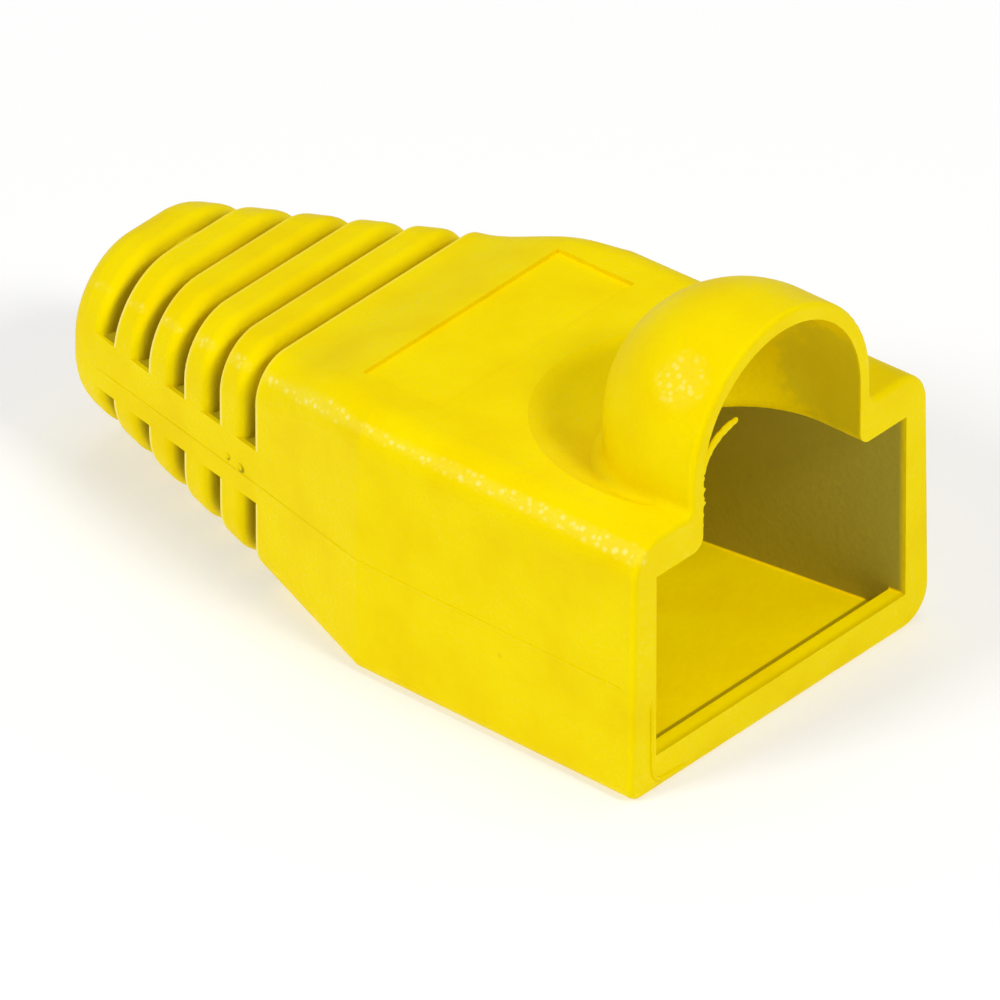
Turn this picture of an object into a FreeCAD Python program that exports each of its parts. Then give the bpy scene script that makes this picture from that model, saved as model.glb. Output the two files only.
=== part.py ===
import FreeCAD, Part
import math
import os

# Strain relief boot for an eight-pole modular plug: one soft plastic moulding.
# Millimetres. +Z is up, +Y runs from the plug mouth to the cable tail, X is across.
# The shape is worked out from the mouth face at Y = 0 and moved at the end, so that
# the origin lies in the middle of the footprint, on the surface that the boot stands on.

# Hollow for the plug, from which most other sizes follow; a low lip runs across its mouth
socket_width = 11.8
socket_narrowing = 2.6
socket_rear_width = socket_width - socket_narrowing
socket_depth = 10.3
socket_height = 7.2
floor_thickness = 0.53
ceiling_height = floor_thickness + socket_height
lip_height = 0.72
lip_depth = 0.6

# Outer box round the plug, slightly narrower towards the tail
mouth_wall = 1.2
roof_thickness = 1.4
rear_wall = 1.0
box_narrowing = 0.48
box_width = socket_width + 2 * mouth_wall
box_rear_width = box_width - box_narrowing
box_height = ceiling_height + roof_thickness
box_length = socket_depth + rear_wall
box_top_radius = 1.2
box_near_radius = 0.5
box_far_radius = 1.2
side_lean = 0.18
mouth_edge_radius = 0.2

# Cable bore in line with the middle of the socket, opened by a funnel towards it
bore_diameter = 5.0
bore_axis_height = floor_thickness + socket_height / 2
funnel_flare = 0.95
funnel_diameter = bore_diameter + 2 * funnel_flare
funnel_length = 4.6

# Shoulder from the box to the root of the tail
shoulder_length = 5.1
shoulder_flat_length = 1.2
shoulder_inset = 1.31
shoulder_drop = 0.83
shoulder_rise = 0.5
shoulder_steps = 8

# Outer form of the flexing tail, at its root and round the bore at its end
tail_root_width = box_rear_width - 2 * shoulder_inset
tail_root_top = box_height - shoulder_drop
tail_root_bottom = shoulder_rise
tail_root_radius = 1.35
end_side_wall = 0.9
end_top_wall = 0.59
end_bottom_wall = 0.63
tail_end_width = bore_diameter + 2 * end_side_wall
tail_end_top = bore_axis_height + bore_diameter / 2 + end_top_wall
tail_end_bottom = bore_axis_height - bore_diameter / 2 - end_bottom_wall
tail_end_roundness = 0.98

# Slots, the ribs between them, and the core inside them
slot_count = 5
slot_pitch = 1.79
slot_width = 0.55
end_rib_length = 1.89
end_rib_rounding = 1.1
rib_soft_radius = 0.42
core_root_wall = 0.65
core_end_wall = 0.4

# Spines that join the ribs on both sides
spine_height = 1.9
spine_rise = 0.15
spine_axis_height = bore_axis_height + spine_rise

# Hood over the plug's latch
hood_radius = 4.25
hood_straight_length = 1.6
hood_leg_height = 0.9
hood_axis_height = box_height + hood_leg_height
hood_wall = 0.54
hood_foot_radius = 0.3
hood_opening_radius = 0.45

# Dished scoop round the foot of the hood
scoop_side_margin = 1.52
scoop_end_margin = 1.95
scoop_offset = 1.7
scoop_floor = 0.48
scoop_half_width = hood_radius + scoop_side_margin
scoop_half_length = hood_radius + scoop_end_margin
scoop_half_height = hood_leg_height + roof_thickness - scoop_floor
scoop_setback = hood_straight_length + scoop_offset

# Label field, left bare
label_margin = 2.26
label_reach = 1.5
label_width = box_rear_width - 2 * label_margin
label_length = 3.1
label_depth = 0.15
label_start = box_length - label_reach

# How far a cutter runs past what it cuts, and how near counts as touching
overrun = 1.0
touch = 0.001

tail_start = box_length + shoulder_length
tail_length = slot_width + (slot_count - 1) * slot_pitch + end_rib_length
overall_length = tail_start + tail_length
along = FreeCAD.Vector(0, 1, 0)


def mix(first, last, share):
    return first + (last - first) * share


def corner_arc(before, corner, after, y):
    """Arc in the plane at y that rounds a corner; each corner is given as x, z and radius."""
    tip = FreeCAD.Vector(corner[0], y, corner[1])
    radius = corner[2]
    to_before = (FreeCAD.Vector(before[0], y, before[1]) - tip).normalize()
    to_after = (FreeCAD.Vector(after[0], y, after[1]) - tip).normalize()
    half_angle = to_before.getAngle(to_after) / 2
    tangent_length = radius / math.tan(half_angle)
    inward = (to_before + to_after).normalize()
    crest_distance = radius / math.sin(half_angle) - radius
    start = tip + to_before * tangent_length
    end = tip + to_after * tangent_length
    return Part.Arc(start, tip + inward * crest_distance, end).toShape()


def rounded_section(y, width, bottom, top, lean, near_radius, far_radius, top_radius):
    """Outline across the boot at y: four rounded corners, with sides that lean in by lean."""
    half = width / 2
    corners = [
        (half - lean, top, top_radius),
        (lean - half, top, top_radius),
        (-half, bottom, near_radius),
        (half, bottom, far_radius),
    ]
    arcs = []
    for index, corner in enumerate(corners):
        arcs.append(corner_arc(corners[index - 1], corner, corners[(index + 1) % len(corners)], y))
    edges = []
    for index, arc in enumerate(arcs):
        following = arcs[(index + 1) % len(arcs)]
        side = Part.LineSegment(arc.Vertexes[-1].Point, following.Vertexes[0].Point)
        edges.append(arc)
        edges.append(side.toShape())
    return Part.Wire(edges)


def line(start, end):
    return Part.LineSegment(start, end).toShape()


def slab(y_start, y_end, z_start, z_end, width):
    """Plain block centred on X, used to cut, trim or keep part of another solid."""
    corner = FreeCAD.Vector(-width / 2, y_start, z_start)
    return Part.makeBox(width, y_end - y_start, z_end - z_start, corner)


def make_box():
    """Outer box round the plug, slightly narrower towards the tail."""
    sections = []
    for y, width in ((0.0, box_width), (box_length, box_rear_width)):
        sections.append(rounded_section(
            y, width, 0.0, box_height, side_lean, box_near_radius, box_far_radius, box_top_radius,
        ))
    return Part.makeLoft(sections, True, True)


def make_shoulder():
    """Blend from the box to the root of the tail: the sides run in straight, the top eases down."""
    sections = []
    flat_share = shoulder_flat_length / shoulder_length
    for step in range(shoulder_steps + 1):
        share = step / shoulder_steps
        fall = max(0.0, share - flat_share) / (1 - flat_share)
        eased = fall * fall * (3 - 2 * fall)
        sections.append(rounded_section(
            box_length + shoulder_length * share,
            mix(box_rear_width, tail_root_width, share),
            mix(0.0, tail_root_bottom, share),
            mix(box_height, tail_root_top, eased),
            mix(side_lean, 0.0, share),
            mix(box_near_radius, tail_root_radius, share),
            mix(box_far_radius, tail_root_radius, share),
            mix(box_top_radius, tail_root_radius, share),
        ))
    return Part.makeLoft(sections, True, False)


def make_tail_form():
    """Full outer form of the tail before its slots: flat-sided at the root, round at the end."""
    end_radius = tail_end_roundness * min(tail_end_width, tail_end_top - tail_end_bottom) / 2
    root = rounded_section(
        tail_start, tail_root_width, tail_root_bottom, tail_root_top, 0.0,
        tail_root_radius, tail_root_radius, tail_root_radius,
    )
    end = rounded_section(
        overall_length, tail_end_width, tail_end_bottom, tail_end_top, 0.0,
        end_radius, end_radius, end_radius,
    )
    return Part.makeLoft([root, end], True, True)


def edges_at(shape, y):
    """All edges of a shape that lie in the plane at y."""
    found = []
    for edge in shape.Edges:
        box = edge.BoundBox
        if abs(box.YMin - y) < touch and abs(box.YMax - y) < touch:
            found.append(edge)
    return found


def edges_inside(shape, half_width, y_start, y_end, z_start, z_end):
    """All edges that lie wholly inside a block centred on X and leave its front face."""
    found = []
    for edge in shape.Edges:
        box = edge.BoundBox
        across = box.XMin > -half_width and box.XMax < half_width
        lengthwise = box.YMin > y_start and box.YMax > y_start + touch and box.YMax < y_end
        upright = box.ZMin > z_start and box.ZMax < z_end
        if across and lengthwise and upright:
            found.append(edge)
    return found


def make_rib(tail_form, y_start, y_end):
    """One rib: a slice of the tail, softly rounded on the side towards the mouth."""
    rib = tail_form.common(slab(y_start, y_end, -overrun, box_height + overrun, box_width))
    return rib.makeFillet(rib_soft_radius, edges_at(rib, y_start))


def make_tail():
    """Ribs on a tubular core, joined on both sides by a spine flush with the ribs."""
    tail_form = make_tail_form()
    bore_radius = bore_diameter / 2
    core_start = FreeCAD.Vector(0, tail_start - overrun, bore_axis_height)
    core_length = overrun + tail_length - end_rib_rounding
    root_radius = bore_radius + core_root_wall
    end_radius = bore_radius + core_end_wall
    solids = [Part.makeCone(root_radius, end_radius, core_length, core_start, along)]
    for index in range(slot_count - 1):
        rib_start = tail_start + slot_width + index * slot_pitch
        solids.append(make_rib(tail_form, rib_start, rib_start + slot_pitch - slot_width))
    end_rib = make_rib(tail_form, overall_length - end_rib_length, overall_length)
    solids.append(end_rib.makeFillet(end_rib_rounding, edges_at(end_rib, overall_length)))
    spine_bottom = spine_axis_height - spine_height / 2
    spine_end = overall_length - end_rib_length / 2
    spine_zone = slab(tail_start, spine_end, spine_bottom, spine_bottom + spine_height, box_width)
    solids.append(tail_form.common(spine_zone))
    return solids


def stretched(shape, x_scale, y_scale, z_scale):
    """A form of unit size, stretched along each axis."""
    matrix = FreeCAD.Matrix()
    matrix.scale(x_scale, y_scale, z_scale)
    return shape.transformGeometry(matrix)


def make_egg(half_width, half_length, half_height, centre):
    """Egg form with its own half size along each axis."""
    ball = Part.makeSphere(1.0, FreeCAD.Vector(0, 0, 0), along)
    egg = stretched(ball, half_width, half_length, half_height)
    egg.translate(centre)
    return egg


def make_dome(radius, bottom, front):
    """Arched tunnel from the front back to the dome's axis, closed by a half round dome on its leg."""
    foot = FreeCAD.Vector(0, hood_straight_length, bottom)
    right_foot = foot + FreeCAD.Vector(radius, 0, 0)
    left_foot = foot - FreeCAD.Vector(radius, 0, 0)
    axis_point = FreeCAD.Vector(0, hood_straight_length, hood_axis_height)
    right = axis_point + FreeCAD.Vector(radius, 0, 0)
    left = axis_point - FreeCAD.Vector(radius, 0, 0)
    crown = axis_point + FreeCAD.Vector(0, 0, radius)
    slant = radius / math.sqrt(2)
    on_arc = axis_point + FreeCAD.Vector(slant, 0, slant)
    half_profile = Part.Wire([
        line(foot, right_foot),
        line(right_foot, right),
        Part.Arc(right, on_arc, crown).toShape(),
        line(crown, foot),
    ])
    rear = Part.Face(half_profile).revolve(foot, FreeCAD.Vector(0, 0, 1), 180)
    arch = Part.Wire([
        line(left_foot, right_foot),
        line(right_foot, right),
        Part.Arc(right, crown, left).toShape(),
        line(left, left_foot),
    ])
    tunnel = Part.Face(arch).extrude(FreeCAD.Vector(0, front - hood_straight_length, 0))
    return rear.fuse(tunnel)


def make_socket():
    """Hollow for the plug: its sides close in towards the tail, behind a low lip."""
    narrowing = socket_narrowing / socket_depth
    sections = []
    for y in (-overrun, socket_depth):
        half = (socket_width - narrowing * y) / 2
        corners = [
            FreeCAD.Vector(-half, y, floor_thickness),
            FreeCAD.Vector(half, y, floor_thickness),
            FreeCAD.Vector(half, y, ceiling_height),
            FreeCAD.Vector(-half, y, ceiling_height),
        ]
        sections.append(Part.makePolygon(corners + corners[:1]))
    socket = Part.makeLoft(sections, True, True)
    lip = slab(-2 * overrun, lip_depth, -overrun, floor_thickness + lip_height, 2 * box_width)
    return socket.cut(lip)


def make_cable_way():
    """Bore through the tail, opened by a funnel at the rear wall of the socket."""
    bore_start = FreeCAD.Vector(0, socket_depth, bore_axis_height)
    bore_length = overall_length - socket_depth + overrun
    bore = Part.makeCylinder(bore_diameter / 2, bore_length, bore_start, along)
    funnel = Part.makeCone(funnel_diameter / 2, bore_diameter / 2, funnel_length, bore_start, along)
    return bore.fuse(funnel)


def mouth_outline(boot):
    """Outer edges of the flat rim round the mouth."""
    for face in boot.Faces:
        if face.BoundBox.YMax < touch:
            return face.OuterWire.Edges


def make_boot():
    boot = make_box().fuse([make_shoulder()] + make_tail())
    scoop_centre = FreeCAD.Vector(0, scoop_setback, hood_axis_height)
    boot = boot.cut(make_egg(scoop_half_width, scoop_half_length, scoop_half_height, scoop_centre))

    boot = boot.fuse(make_dome(hood_radius, ceiling_height, 0.0)).removeSplitter()
    hood_end = hood_straight_length + hood_radius + touch
    foot = edges_inside(boot, hood_radius + touch, -touch, hood_end, ceiling_height, box_height + touch)
    boot = boot.makeFillet(hood_foot_radius, foot)

    inner_radius = hood_radius - hood_wall
    boot = boot.cut(make_dome(inner_radius, ceiling_height - overrun, -overrun))
    boot = boot.cut(make_socket())
    inner_end = hood_straight_length + inner_radius + touch
    just_below = ceiling_height - touch
    just_above = ceiling_height + touch
    opening = edges_inside(boot, inner_radius + touch, -touch, inner_end, just_below, just_above)
    boot = boot.makeFillet(hood_opening_radius, opening)

    boot = boot.cut(make_cable_way())
    label_bottom = box_height - label_depth
    label_end = label_start + label_length
    boot = boot.cut(slab(label_start, label_end, label_bottom, box_height + overrun, label_width))
    boot = boot.makeFillet(mouth_edge_radius, mouth_outline(boot))
    boot = boot.removeSplitter()
    boot.translate(FreeCAD.Vector(0, -overall_length / 2, 0))
    return boot


os.makedirs("parts", exist_ok=True)
boot = make_boot()
boot.exportStep("parts/strain_relief_boot.step")
print("solids", len(boot.Solids), "valid", boot.isValid(), "volume mm3", round(boot.Volume, 1))
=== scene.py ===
import math
import bpy
import numpy as np
from mathutils import Matrix, Vector


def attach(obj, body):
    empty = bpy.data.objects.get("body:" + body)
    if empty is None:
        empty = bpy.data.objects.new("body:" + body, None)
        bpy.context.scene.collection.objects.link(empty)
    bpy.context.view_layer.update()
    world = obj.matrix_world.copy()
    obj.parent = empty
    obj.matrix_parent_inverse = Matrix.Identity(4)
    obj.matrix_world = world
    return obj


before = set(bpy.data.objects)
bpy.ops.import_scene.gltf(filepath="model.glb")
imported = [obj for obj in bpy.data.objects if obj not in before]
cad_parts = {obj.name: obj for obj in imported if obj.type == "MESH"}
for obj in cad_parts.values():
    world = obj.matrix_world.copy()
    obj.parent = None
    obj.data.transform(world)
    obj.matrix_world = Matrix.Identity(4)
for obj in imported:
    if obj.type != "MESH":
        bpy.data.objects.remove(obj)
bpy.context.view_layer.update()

mm = 0.001  # everything below is written in millimetres and turned to metres with this
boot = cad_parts["strain_relief_boot"]
mouthY = -13.0  # plane of the mouth, mm


# Yellow moulded plastic. A pair of lengths is a soft edge of a zone, which is empty at the first length
# and full at the second
bootPlastic = {
    "base": (0.920, 0.715, 0.0, 1.0),
    "pale": (0.935, 0.745, 0.0, 1.0),
    "deep": (0.895, 0.670, 0.0, 1.0),
    "toneSteps": (0.3, 0.5, 0.72),           # cloud values that show the deep, the base and the pale yellow
    "tint": (1.0, 0.93, 0.06, 1.0),          # of the gloss
    "refraction": 1.5,
    "roughness": (0.52, 0.36),               # between the specks, on the specks
    "specular": (0.05, 0.32),                # between the specks, on the specks
    "cloud": (2.2, 3),                       # mm and detail, soft patches of colour
    "grain": 0.20,                           # mm, eroded texture of the mould
    "ripple": (1.3, 2),                      # mm and detail, slow unevenness of the skin
    "speck": (0.09, 2),                      # mm and detail, glossy specks where the mould was rougher
    "speckFrom": (0.54, 0.66),               # noise values where specks begin and are full
    "speckClouds": (0.42, 0.62), "speckLeast": 0.35,  # specks thin out to this share between the clouds
    "grainDepth": 0.009,                     # mm
    "rippleDepth": 0.028,                    # mm
    "speckDepth": 0.006,                     # mm
    "rougherEdge": 3.0,                      # how much more the specks stand out in the rough zone
    "roughZone": {                           # mm, along the long top edge on the -X side
        "out": (6.28, 6.52), "up": (8.42, 8.68),
        "shoulderStart": -1.7, "inwards": 0.257, "down": 0.16,  # how the edge runs on over the shoulder
    },
    "paintedGlints": {                               # painted highlights: pale dots that stand for glints off the eroded skin
        "colour": (0.955, 0.830, 0.170, 1.0),
        "size": 0.25, "dot": (0.52, 0.24),   # mm and how far a dot reaches in its cell
        "gather": (0.6, 2), "gatherFrom": (0.32, 0.46), "least": 0.14,  # share between the dots
        "hoodPlace": (-3.15, -11.6, 12.9),   # fainter patch on the hood's flank
        "hoodReach": 1.15, "hoodShare": 0.55,
    },
    "socket": {                              # mm, painted shade on the socket's inner walls
        "colour": (0.44, 0.385, 0.050, 1.0),
        "wall": (6.00, 5.96), "mouth": (0.02, 0.30), "end": (-2.65, -2.70),
        "overFloor": (0.56, 0.60), "underCeiling": (7.76, 7.70),
        "behindLip": (0.60, 0.62), "aboveLip": (1.30, 1.34),
    },
    "floor": {                               # mm, painted light: a glow on the floor and lip, and a painted shadow behind the lip
        "top": (0.60, 0.56), "lipTop": (1.30, 1.27), "ground": (0.30, 0.40),
        "corner": (1.50, 1.42), "shadeShare": 0.75, "paintedGlowShare": 0.22,
    },
    # painted shade: the colour of the shadow behind the lip, of the shade in the tail's slots and in the
    # gate marks' dips
    "paintedShade": (0.38, 0.300, 0.012, 1.0),
    "hood": {                                # mm, painted shadow under it, ragged at its edge
        "colour": (0.75, 0.620, 0.010, 1.0),
        "place": (4.3, -12.1, 9.9), "reach": 3.6, "blotch": (0.5, 3), "ragged": (0.85, 1.45),
        "axis": 10.03, "straight": 1.6, "inner": (4.02, 3.98), "mouth": (0.03, 0.12), "ceiling": (7.7, 7.8),
    },
    "slots": {                               # mm, "From" and "To" count from "lead" before each slot
        "start": 3.4, "pitch": 1.79, "lead": 0.1,
        "onTail": (3.20, 3.25), "offTail": (11.4, 11.3),
        "shadeFrom": (0.09, 0.12), "shadeTo": (0.87, 0.67), "shadeShare": 0.8,
        "skin": ((3.4, 5.40), (13.0, 3.25)),  # Y and a little less than the tail's half width there
        "spineMiddle": 4.28, "spineHalf": 0.97,
        "flank": (7.6, 6.0), "topShare": 0.22,  # less painted shade on top of the tail
        "boreAxis": 4.13, "bore": (2.55, 2.65),
        "edgeHighlightColour": (0.975, 0.900, 0.420, 1.0),  # painted highlight: a pale line on the ribs' rear edges
        "edgeFrom": (0.0, 0.02), "edgeTo": (0.11, 0.08), "edgeShare": 0.45,
    },
    "dents": [                               # colour, place and reach in mm; the dark patches are painted shade in the gate marks' dips, cut to crescents by the base patches
        ("paintedShade", (-5.40, 4.10, 4.20), 0.180), ("base", (-5.38, 4.17, 4.23), 0.135),
        ("paintedShade", (-5.26, 4.76, 4.28), 0.120), ("base", (-5.24, 4.81, 4.30), 0.105),
        ("deep", (-6.91, -7.60, 3.11), 0.150),
    ],
}


def addNode(tree, kind, **settings):
    node = tree.nodes.new(kind)
    count = len(tree.nodes) - 1
    node.location = (240 * (count // 8), -260 * (count % 8))  # columns of eight, in the order of making
    for name, value in settings.items():
        setattr(node, name, value)
    return node


def addNoise(tree, vector, kind):
    # kind is size in mm and detail
    noise = addNode(tree, "ShaderNodeTexNoise")
    noise.inputs["Scale"].default_value = 1 / (kind[0] * mm)
    noise.inputs["Detail"].default_value = kind[1]
    tree.links.new(vector, noise.inputs["Vector"])
    return noise.outputs["Fac"]


def addCells(tree, vector, size):
    cells = addNode(tree, "ShaderNodeTexVoronoi")
    cells.inputs["Scale"].default_value = 1 / (size * mm)
    tree.links.new(vector, cells.inputs["Vector"])
    return cells.outputs["Distance"]


def addScale(tree, value, ends, low, high, kind="LINEAR"):
    # low at the first end, high at the second
    scale = addNode(tree, "ShaderNodeMapRange", interpolation_type=kind)
    for name, number in zip(("From Min", "From Max", "To Min", "To Max"), (*ends, low, high)):
        scale.inputs[name].default_value = number
    tree.links.new(value, scale.inputs["Value"])
    return scale.outputs["Result"]


def addRange(tree, value, ends, low=0.0, high=1.0):
    # smooth step between the ends
    return addScale(tree, value, ends, low, high, "SMOOTHSTEP")


def addEdge(tree, value, ends, low=0.0, high=1.0):
    # the same with both ends in mm
    return addRange(tree, value, (ends[0] * mm, ends[1] * mm), low, high)


def addMath(tree, operation, first, second=0.0):
    result = addNode(tree, "ShaderNodeMath", operation=operation)
    for socket, value in zip(result.inputs, (first, second)):
        if isinstance(value, (int, float)):
            socket.default_value = value
        else:
            tree.links.new(value, socket)
    return result.outputs["Value"]


def addProduct(tree, first, *others):
    for other in others:
        first = addMath(tree, "MULTIPLY", first, other)
    return first


def addLength(tree, first, second):
    # sqrt(a^2 + b^2)
    squares = [addMath(tree, "MULTIPLY", part, part) for part in (first, second)]
    return addMath(tree, "SQRT", addMath(tree, "ADD", *squares))


def addBump(tree, height, depth, below=None):
    bump = addNode(tree, "ShaderNodeBump")
    bump.inputs["Strength"].default_value = 1.0
    bump.inputs["Distance"].default_value = depth * mm
    tree.links.new(height, bump.inputs["Height"])
    if below:
        tree.links.new(below, bump.inputs["Normal"])
    return bump.outputs["Normal"]


def addMix(tree, share, first, second):
    mix = addNode(tree, "ShaderNodeMix", data_type="RGBA")
    tree.links.new(share, mix.inputs["Factor"])
    tree.links.new(first, mix.inputs[6])
    mix.inputs[7].default_value = second
    return mix.outputs[2]


def addPatch(tree, vector, centre, reach, core=0.4):
    # soft round patch: 0 at the reach, 1 within the core's share of it
    far = addNode(tree, "ShaderNodeVectorMath", operation="DISTANCE")
    far.inputs[1].default_value = [number * mm for number in centre]
    tree.links.new(vector, far.inputs[0])
    return addEdge(tree, far.outputs["Value"], (reach, core * reach))


def addPlaces(tree):
    # what the zones are measured by
    point = addNode(tree, "ShaderNodeTexCoord").outputs["Object"]
    apart = addNode(tree, "ShaderNodeSeparateXYZ")
    tree.links.new(point, apart.inputs["Vector"])
    x, y, z = (apart.outputs[axis] for axis in "XYZ")
    return {
        "point": point, "x": x, "y": y, "z": z,
        "across": addMath(tree, "ABSOLUTE", x),                    # from the middle plane
        "fromMouth": addMath(tree, "SUBTRACT", y, mouthY * mm),
    }


def addTones(tree, cloud, look):
    # soft patches: noise drives a blend from deep to pale
    tones = addNode(tree, "ShaderNodeValToRGB")
    first, middle, last = look["toneSteps"]
    tones.color_ramp.elements[0].position = first
    tones.color_ramp.elements[0].color = look["deep"]
    tones.color_ramp.elements[1].position = last
    tones.color_ramp.elements[1].color = look["pale"]
    tones.color_ramp.elements.new(middle).color = look["base"]
    tree.links.new(cloud, tones.inputs["Fac"])
    return tones.outputs["Color"]


def addRoughZone(tree, at, zone):
    # full where -x > out - inwards * s and z > up - down * s, with s the way past the shoulder's start
    past = addMath(tree, "MAXIMUM", addMath(tree, "SUBTRACT", at["y"], zone["shoulderStart"] * mm))
    outward = addMath(tree, "SUBTRACT", addProduct(tree, past, zone["inwards"]), at["x"])
    upward = addMath(tree, "ADD", addProduct(tree, past, zone["down"]), at["z"])
    return addProduct(tree, addEdge(tree, outward, zone["out"]), addEdge(tree, upward, zone["up"]))


def addPaintedGlints(tree, at, paintedGlints, roughZone):
    # painted highlights: pale dots for glints, cell noise kept where a coarser noise is high, in the rough
    # zone and on the hood's flank
    dot = addRange(tree, addCells(tree, at["point"], paintedGlints["size"]), paintedGlints["dot"])
    gather = addRange(tree, addNoise(tree, at["point"], paintedGlints["gather"]), paintedGlints["gatherFrom"])
    onHood = addProduct(
        tree, addPatch(tree, at["point"], paintedGlints["hoodPlace"], paintedGlints["hoodReach"]), paintedGlints["hoodShare"])
    dots = addMath(tree, "MAXIMUM", addProduct(tree, dot, gather), paintedGlints["least"])
    return addProduct(tree, dots, addMath(tree, "MAXIMUM", roughZone, onHood))


def addSocketZones(tree, at, socket, floor):
    # painted shade on the walls: between floor and ceiling, behind the mouth, and behind or above the lip
    inside = addProduct(
        tree, addEdge(tree, at["across"], socket["wall"]), addEdge(tree, at["y"], socket["end"]),
        addEdge(tree, at["fromMouth"], socket["mouth"]))
    upright = addProduct(
        tree, addEdge(tree, at["z"], socket["overFloor"]), addEdge(tree, at["z"], socket["underCeiling"]))
    behindLip = addEdge(tree, at["fromMouth"], socket["behindLip"])
    clear = addMath(tree, "MAXIMUM", behindLip, addEdge(tree, at["z"], socket["aboveLip"]))
    wallShade = addProduct(tree, inside, upright, clear)

    # floor and lip: low down, but above the ground
    lip = addMath(tree, "MINIMUM", addEdge(tree, at["z"], floor["lipTop"]),
                  addMath(tree, "SUBTRACT", 1.0, behindLip))
    low = addMath(tree, "MAXIMUM", addEdge(tree, at["z"], floor["top"]), lip)
    floorZone = addProduct(tree, inside, low, addEdge(tree, at["z"], floor["ground"]))
    # painted shadow: a thin dark line on the floor just behind the lip
    corner = addProduct(tree, behindLip, addEdge(tree, at["fromMouth"], floor["corner"]))
    paintedShade = addProduct(tree, floorZone, corner, floor["shadeShare"])
    # painted light: the floor and lip glow, less where the painted shadow lies
    paintedGlow = addProduct(tree, addMath(tree, "SUBTRACT", floorZone, paintedShade), floor["paintedGlowShare"])
    return wallShade, paintedShade, paintedGlow


def addHoodShadow(tree, at, hood):
    # painted shadow under the hood: a soft patch with a ragged edge, kept to what lies nearer than the
    # middle of the hood's wall:
    # sqrt(x^2 + over^2 + past^2), with the ways over the hood's axis and past its straight stretch
    blotch = addNoise(tree, at["point"], hood["blotch"])
    patch = addPatch(tree, at["point"], hood["place"], hood["reach"])
    ragged = addRange(tree, addMath(tree, "ADD", blotch, patch), hood["ragged"])
    overAxis = addMath(tree, "MAXIMUM", addMath(tree, "SUBTRACT", at["z"], hood["axis"] * mm))
    pastStraight = addMath(
        tree, "MAXIMUM", addMath(tree, "SUBTRACT", at["fromMouth"], hood["straight"] * mm))
    fromAxis = addLength(tree, addLength(tree, at["across"], overAxis), pastStraight)
    inner = addEdge(tree, fromAxis, hood["inner"])
    return addProduct(
        tree, ragged, inner, addEdge(tree, at["fromMouth"], hood["mouth"]),
        addEdge(tree, at["z"], hood["ceiling"]))


def addSlotZones(tree, at, slots):
    # t = (y - start + lead) modulo pitch runs from 0 before each slot
    along = addMath(tree, "SUBTRACT", at["y"], (slots["start"] - slots["lead"]) * mm)
    turn = addMath(tree, "MODULO", along, slots["pitch"] * mm)
    onTail = addProduct(
        tree, addEdge(tree, at["y"], slots["onTail"]), addEdge(tree, at["y"], slots["offTail"]))

    # deeper than the tail's skin, or away from the spines
    (startY, startHalf), (endY, endHalf) = slots["skin"]
    half = addScale(tree, at["y"], (startY * mm, endY * mm), startHalf * mm, endHalf * mm)
    deep = addMath(tree, "LESS_THAN", at["across"], half)
    fromSpine = addMath(tree, "ABSOLUTE", addMath(tree, "SUBTRACT", at["z"], slots["spineMiddle"] * mm))
    offSpine = addMath(tree, "GREATER_THAN", fromSpine, slots["spineHalf"] * mm)

    # outside the bore, less on top
    overBore = addMath(tree, "SUBTRACT", at["z"], slots["boreAxis"] * mm)
    aroundBore = addEdge(tree, addLength(tree, at["across"], overBore), slots["bore"])
    flank = addEdge(tree, at["z"], slots["flank"], slots["topShare"], 1.0)
    tail = addProduct(tree, onTail, aroundBore, flank)

    # painted shade in the slots between the ribs
    paintedShade = addProduct(
        tree, addEdge(tree, turn, slots["shadeFrom"]), addEdge(tree, turn, slots["shadeTo"]),
        addMath(tree, "MAXIMUM", deep, offSpine), tail, slots["shadeShare"])
    # painted highlight along the ribs' rear edges
    edgeHighlight = addProduct(
        tree, addEdge(tree, turn, slots["edgeFrom"]), addEdge(tree, turn, slots["edgeTo"]),
        offSpine, tail, slots["edgeShare"])
    return paintedShade, edgeHighlight


def addSkin(tree, at, look, cloud, roughZone):
    # slow ripple, fine eroded grain of cells, and glossy specks that stand out more in the rough zone
    specks = addNoise(tree, at["point"], look["speck"])
    patches = addRange(tree, cloud, look["speckClouds"], look["speckLeast"], 1.0)
    shine = addProduct(tree, addRange(tree, specks, look["speckFrom"]), patches)
    normal = addBump(tree, addNoise(tree, at["point"], look["ripple"]), look["rippleDepth"])
    normal = addBump(tree, addCells(tree, at["point"], look["grain"]), look["grainDepth"], normal)
    rougher = addMath(tree, "ADD", addProduct(tree, roughZone, look["rougherEdge"]), 1.0)
    normal = addBump(tree, addProduct(tree, specks, rougher), look["speckDepth"], normal)
    return shine, normal


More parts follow.
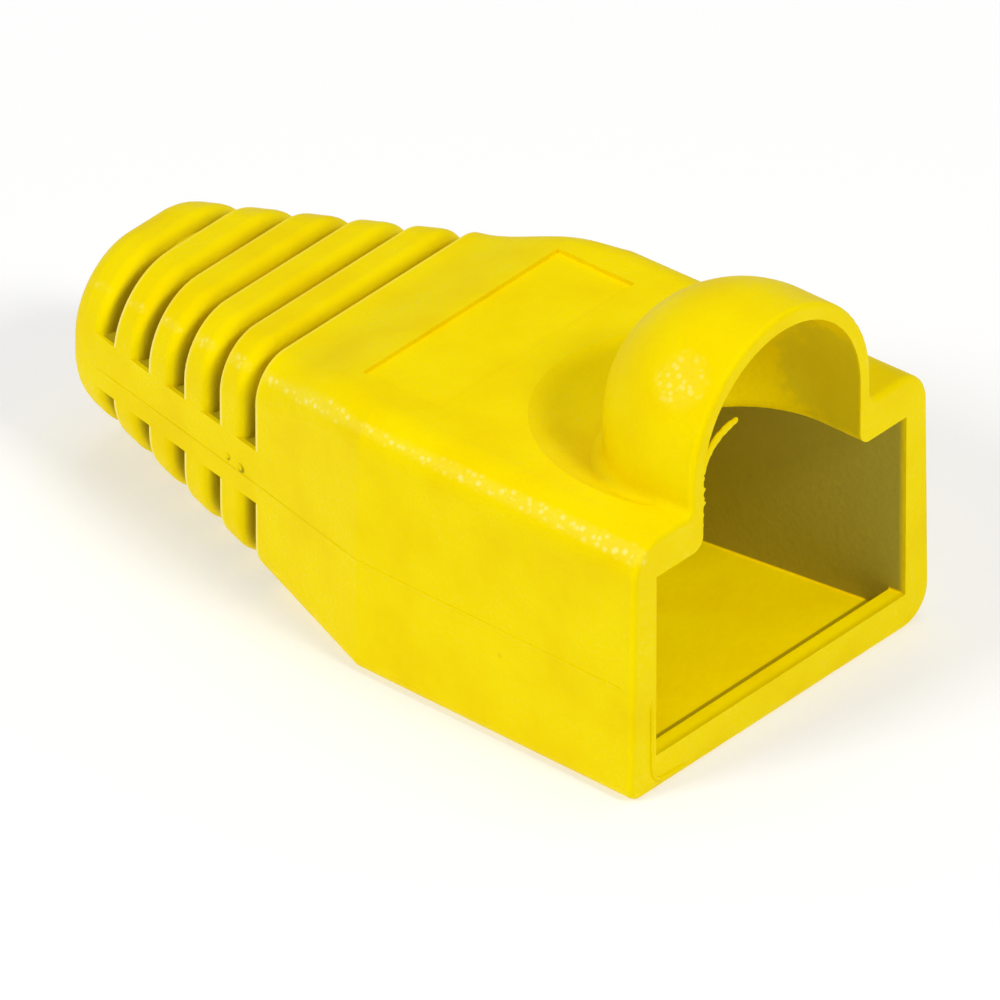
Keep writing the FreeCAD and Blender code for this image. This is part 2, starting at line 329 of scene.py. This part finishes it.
def makePlastic(name, look):
    material = bpy.data.materials.new(name)
    material.use_nodes = True
    tree = material.node_tree
    tree.nodes.clear()
    link = tree.links.new
    output = addNode(tree, "ShaderNodeOutputMaterial")
    shader = addNode(tree, "ShaderNodeBsdfPrincipled")
    shader.inputs["Specular Tint"].default_value = look["tint"]
    shader.inputs["IOR"].default_value = look["refraction"]
    link(shader.outputs["BSDF"], output.inputs["Surface"])
    at = addPlaces(tree)

    cloud = addNoise(tree, at["point"], look["cloud"])
    tones = addTones(tree, cloud, look)
    roughZone = addRoughZone(tree, at, look["roughZone"])
    wallShade, lipShadow, paintedGlow = addSocketZones(tree, at, look["socket"], look["floor"])
    slotShade, edgeHighlight = addSlotZones(tree, at, look["slots"])
    layers = [
        # painted highlights (glints) as pale dots
        (addPaintedGlints(tree, at, look["paintedGlints"], roughZone), look["paintedGlints"]["colour"]),
        # painted shade on the socket's inner walls
        (wallShade, look["socket"]["colour"]),
        # painted shadow behind the lip
        (lipShadow, look["paintedShade"]),
        # painted shadow under the hood
        (addHoodShadow(tree, at, look["hood"]), look["hood"]["colour"]),
        # painted shade in the tail's slots
        (slotShade, look["paintedShade"]),
        # painted highlight on the ribs' rear edges
        (edgeHighlight, look["slots"]["edgeHighlightColour"]),
    ]
    # painted shade in the gate marks' dips, and a deep-toned spot
    for tint, centre, reach in look["dents"]:
        layers.append((addPatch(tree, at["point"], centre, reach), look[tint]))
    colour = tones
    for share, tint in layers:
        colour = addMix(tree, share, colour, tint)
    link(colour, shader.inputs["Base Color"])
    # painted light: the socket's floor and lip glow in the plastic's tones
    link(paintedGlow, shader.inputs["Emission Strength"])
    link(tones, shader.inputs["Emission Color"])

    shine, normal = addSkin(tree, at, look, cloud, roughZone)
    link(addRange(tree, shine, (0.0, 1.0), *look["roughness"]), shader.inputs["Roughness"])
    link(addRange(tree, shine, (0.0, 1.0), *look["specular"]), shader.inputs["Specular IOR Level"])
    link(normal, shader.inputs["Normal"])
    return material


plastic = makePlastic("yellowPlastic", bootPlastic)
boot.data.materials.clear()
boot.data.materials.append(plastic)
print("boot plastic done")


# Small things that the mould left: thin closed forms on the boot's skin

def fitCurve(points, rows):
    # C(u) = a u^3 + b u^2 + c u + d for each axis, fitted to the points by their distance along the way
    points = np.array(points, float)
    steps = np.linalg.norm(np.diff(points, axis=0), axis=1)
    u = np.concatenate([[0.0], np.cumsum(steps)]) / steps.sum()
    t = np.linspace(0, 1, rows)
    return np.stack([np.polyval(np.polyfit(u, points[:, k], 3), t) for k in range(3)], axis=1)


def taperEnds(along, slope, least=0.05):
    # w(s) = slope times the way to the nearer end, kept between the least and 1
    return np.clip(np.minimum(along - along[0], along[-1] - along) * slope, least, 1.0)


def ovalAlong(path, sideways, wide, thick, around):
    # P(u, v) = C(u) + w(u) cos(v) S(u) + h(u) sin(v) (T(u) x S(u)), where T is the path's direction
    # and S is the sideways direction made square to it
    ahead = np.gradient(path, axis=0)
    ahead /= np.linalg.norm(ahead, axis=1)[:, None]
    side = np.array(sideways, float) - ahead * (ahead @ np.array(sideways, float))[:, None]
    side /= np.linalg.norm(side, axis=1)[:, None]
    over = np.cross(ahead, side)
    v = np.linspace(0, 2 * np.pi, around, endpoint=False)[None, :, None]
    return (path[:, None] + wide[:, None, None] * np.cos(v) * side[:, None]
            + thick[:, None, None] * np.sin(v) * over[:, None])


def ringAround(centre, outward, radii, heights, around):
    # P(u, v) = C + r(u) (cos(v) A + sin(v) B) + h(u) N, where A, B and N are square to each other
    normal = np.array(outward, float) / np.linalg.norm(outward)
    first = np.cross((0.0, 0.0, 1.0), normal)
    first /= np.linalg.norm(first)
    second = np.cross(normal, first)
    v = np.linspace(0, 2 * np.pi, around, endpoint=False)[None, :, None]
    r, h = np.array(radii, float)[:, None, None], np.array(heights, float)[:, None, None]
    return np.array(centre, float) + r * (np.cos(v) * first + np.sin(v) * second) + h * normal


def addPiece(name, grid):
    # grid[row, around] of points in mm, closed around and capped at both ends
    rows, around = grid.shape[:2]
    i, j = np.meshgrid(np.arange(rows - 1), np.arange(around), indexing="ij")
    k = (j + 1) % around
    quads = np.stack([i * around + j, i * around + k, (i + 1) * around + k, (i + 1) * around + j], axis=-1)
    caps = [list(range(around))[::-1], list(range((rows - 1) * around, rows * around))]
    mesh = bpy.data.meshes.new(name)
    mesh.from_pydata((grid.reshape(-1, 3) * mm).tolist(), [], quads.reshape(-1, 4).tolist() + caps)
    mesh.polygons.foreach_set("use_smooth", np.ones(len(mesh.polygons), bool))
    mesh.materials.append(plastic)
    piece = bpy.data.objects.new(name, mesh)
    bpy.context.scene.collection.objects.link(piece)
    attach(piece, "root")


# Sliver of flash that curls from the hood's inner left edge
sliver = {
    "points": [(-3.66, -12.93, 10.28), (-3.56, -12.95, 10.62), (-3.43, -12.95, 11.00),
               (-3.11, -12.95, 11.30), (-2.68, -12.93, 11.40), (-2.31, -12.90, 11.46),
               (-1.95, -12.86, 11.47)],
    "width": (0.07, 0.11, 0.155, 0.16, 0.15, 0.125, 0.10),  # mm, half width at each point
    "thickness": 0.07,
    "flatTo": (1.0, 0.0, -1.0),
    "torn": 0.12, "tornWaves": (37, 11),  # share of the width that comes and goes, and how often
    "bluntness": 16, "endWidth": 0.02,    # the ends stay square and close to this share of the width
    "rows": 60, "around": 14,
}
sliverPath = fitCurve(sliver["points"], sliver["rows"])
share = np.linspace(0, 1, sliver["rows"])
sliverWidth = np.interp(share, np.linspace(0, 1, len(sliver["width"])), sliver["width"])
quick, slow = sliver["tornWaves"]
sliverWidth *= 1 + sliver["torn"] * np.sin(quick * share) * np.sin(slow * share + 1)
blunt = np.sqrt(np.clip(1 - (2 * share - 1) ** sliver["bluntness"], 0.0, 1.0)) + sliver["endWidth"]
addPiece("flashSliver", ovalAlong(
    sliverPath, sliver["flatTo"], sliverWidth * blunt, sliver["thickness"] * blunt, sliver["around"]))

# Thin torn fin down the same edge
fin = {
    "points": [(-3.69, -12.97, 10.45), (-3.72, -12.97, 9.9), (-3.73, -12.97, 9.3),
               (-3.75, -12.97, 8.7), (-3.84, -12.97, 8.2)],
    "width": 0.05, "thickness": 0.025,    # mm, halves
    "flatTo": (1.0, 0.0, 0.0),
    # place and depth of each bite
    "bites": [(0.12, 0.05), (0.30, 0.11), (0.44, 0.06), (0.52, 0.12), (0.70, 0.05), (0.86, 0.08)],
    "biteLength": 0.035,                  # share of the fin's length
    "taper": 12,
    "rows": 90, "around": 10,
}
share = np.linspace(0, 1, fin["rows"])
finWidth = np.full(fin["rows"], fin["width"])
for where, deep in fin["bites"]:
    finWidth += deep * np.exp(-((share - where) / fin["biteLength"]) ** 2)
finWidth *= taperEnds(share, fin["taper"])
addPiece("flashFin", ovalAlong(
    fitCurve(fin["points"], fin["rows"]), fin["flatTo"], finWidth,
    np.full(fin["rows"], fin["thickness"]), fin["around"]))

# Parting line of the mould, low on both sides and along the spines
parting = {
    "y": (0.25, 11.3, 16.4, 24.6),             # mm from the mouth
    "x": (7.015, 6.780, 5.552, 3.712),         # mm, where the side's skin lies there
    "z": 3.98,
    "halfHeight": 0.020, "halfWidth": 0.075,
    "flatTo": (0.0, 0.0, 1.0),
    "swell": 0.25, "swellWaves": (1.7, 4.1),   # comes and goes along the way
    "taper": 3,
    "rows": 240, "around": 8,
}
for side, name in ((-1, "partingLineLeft"), (1, "partingLineRight")):
    y = np.linspace(parting["y"][0], parting["y"][-1], parting["rows"])
    x = side * np.interp(y, parting["y"], parting["x"])
    path = np.stack([x, y + mouthY, np.full_like(y, parting["z"])], axis=1)
    slow, quick = parting["swellWaves"]
    swell = 1 - parting["swell"] + parting["swell"] * np.sin(slow * y + side) * np.sin(quick * y)
    ends = taperEnds(y, parting["taper"])
    addPiece(name, ovalAlong(
        path, parting["flatTo"], parting["halfWidth"] * ends, parting["halfHeight"] * swell * ends,
        parting["around"]))

# Seam of the mouth's insert: a fine line on the rim beside the opening and under the lip
seam = {
    "x": (-6.12, -6.12, -6.07, -5.93, -5.70, -5.2, -4.3),
    "z": (3.40, 1.05, 0.70, 0.44, 0.30, 0.27, 0.27),
    "halfWidth": 0.075, "halfHeight": 0.070,
    "flatTo": (1.0, 0.0, 0.4),
    "taper": 2,
    "rows": 220, "around": 8,
}
corners = np.stack([seam["x"], np.full(len(seam["x"]), mouthY), seam["z"]], axis=1)
lengths = np.concatenate([[0.0], np.cumsum(np.linalg.norm(np.diff(corners, axis=0), axis=1))])
where = np.linspace(0, lengths[-1], seam["rows"])
path = np.stack([np.interp(where, lengths, corners[:, axis]) for axis in range(3)], axis=1)
ends = taperEnds(where, seam["taper"])
addPiece("mouthSeam", ovalAlong(
    path, seam["flatTo"], seam["halfWidth"] * ends, seam["halfHeight"] * ends, seam["around"]))

# Marks of the gates on the spine: a low rim round a small dip
gate = {
    "radii": (0.17, 0.15, 0.12, 0.09, 0.06, 0.001),
    "heights": (-0.03, 0.030, 0.045, 0.030, 0.012, 0.010),  # mm above the skin
    "outward": (-1.0, 0.22, 0.0),
    "marks": [("gateMark", (-5.38, 4.15, 4.21), 1.0), ("gateMarkFaint", (-5.24, 4.79, 4.29), 0.8)],
    "around": 20,
}
for name, centre, size in gate["marks"]:
    addPiece(name, ringAround(
        centre, gate["outward"], np.array(gate["radii"]) * size, np.array(gate["heights"]) * size,
        gate["around"]))
print("flash, parting line, seam and gate marks done")


# Camera: the photo has no perspective to speak of, so it stands far off with a long lens
view = {
    "azimuth": -49.5, "elevation": 33.0,
    "pixelsPerMm": 32.72,
    "mouthPixel": (781.0, 709.1),  # where the mouth's lower middle lies in the picture
    "distance": 1250.0,            # mm
    "imageSize": 1000.0,
    "sensor": 36.0,
}


def placeCamera(settings):
    a = math.radians(settings["azimuth"])
    e = math.radians(settings["elevation"])
    right = Vector((math.cos(a), math.sin(a), 0.0))
    back = Vector((math.sin(a) * math.cos(e), -math.cos(a) * math.cos(e), math.sin(e)))
    up = back.cross(right)
    half = settings["imageSize"] / 2
    sideways = (half - settings["mouthPixel"][0]) / settings["pixelsPerMm"]
    upward = (settings["mouthPixel"][1] - half) / settings["pixelsPerMm"]
    target = Vector((0.0, mouthY, 0.0)) + right * sideways + up * upward
    data = bpy.data.cameras.new("camera")
    data.sensor_width = settings["sensor"]
    data.lens = settings["pixelsPerMm"] * settings["sensor"] * settings["distance"] / settings["imageSize"]
    camera = bpy.data.objects.new("camera", data)
    turn = Matrix((right, up, back)).transposed().to_4x4()
    camera.matrix_world = Matrix.Translation((target + back * settings["distance"]) * mm) @ turn
    bpy.context.scene.collection.objects.link(camera)
    bpy.context.scene.camera = camera


placeCamera(view)
print("camera done")


# Pale floor and soft studio light
studio = {
    "floorSize": 4.0,                    # m
    "floorColour": (0.66, 0.66, 0.66, 1.0), "floorGlow": 0.36,  # lit paper with a little light from below
    "floorRoughness": 0.9, "floorSpecular": 0.1,
    "white": (1.0, 1.0, 1.0, 1.0), "worldStrength": 0.30,
    "lights": [
        # name, place in m from the boot, size in m, power in W
        ("keyLight", (-0.50, 0.17, 0.40), 0.18, 1.74),
        ("frontLight", (-0.02, -0.50, 0.46), 0.16, 1.75),
        ("topLight", (0.10, 0.0, 0.60), 0.40, 0.80),
    ],
}


def makeFloor(settings):
    half = settings["floorSize"] / 2
    mesh = bpy.data.meshes.new("floor")
    corners = np.array([(-half, -half, 0), (half, -half, 0), (half, half, 0), (-half, half, 0)])
    mesh.from_pydata(corners.tolist(), [], [(0, 1, 2, 3)])
    floor = bpy.data.objects.new("floor", mesh)
    material = bpy.data.materials.new("floorPaper")
    material.use_nodes = True
    shader = material.node_tree.nodes["Principled BSDF"]
    shader.inputs["Base Color"].default_value = settings["floorColour"]
    shader.inputs["Roughness"].default_value = settings["floorRoughness"]
    shader.inputs["Specular IOR Level"].default_value = settings["floorSpecular"]
    shader.inputs["Emission Color"].default_value = settings["white"]
    shader.inputs["Emission Strength"].default_value = settings["floorGlow"]
    mesh.materials.append(material)
    bpy.context.scene.collection.objects.link(floor)


def makeLights(settings):
    world = bpy.data.worlds.new("studioWorld")
    world.use_nodes = True
    background = world.node_tree.nodes["Background"]
    background.inputs["Color"].default_value = settings["white"]
    background.inputs["Strength"].default_value = settings["worldStrength"]
    bpy.context.scene.world = world
    for name, place, size, power in settings["lights"]:
        data = bpy.data.lights.new(name, "AREA")
        data.size = size
        data.energy = power
        light = bpy.data.objects.new(name, data)
        light.location = place
        light.rotation_euler = (-Vector(place)).to_track_quat("-Z", "Y").to_euler()
        bpy.context.scene.collection.objects.link(light)


makeFloor(studio)
makeLights(studio)
bpy.context.scene.view_settings.view_transform = "Standard"
print("floor and lights done")
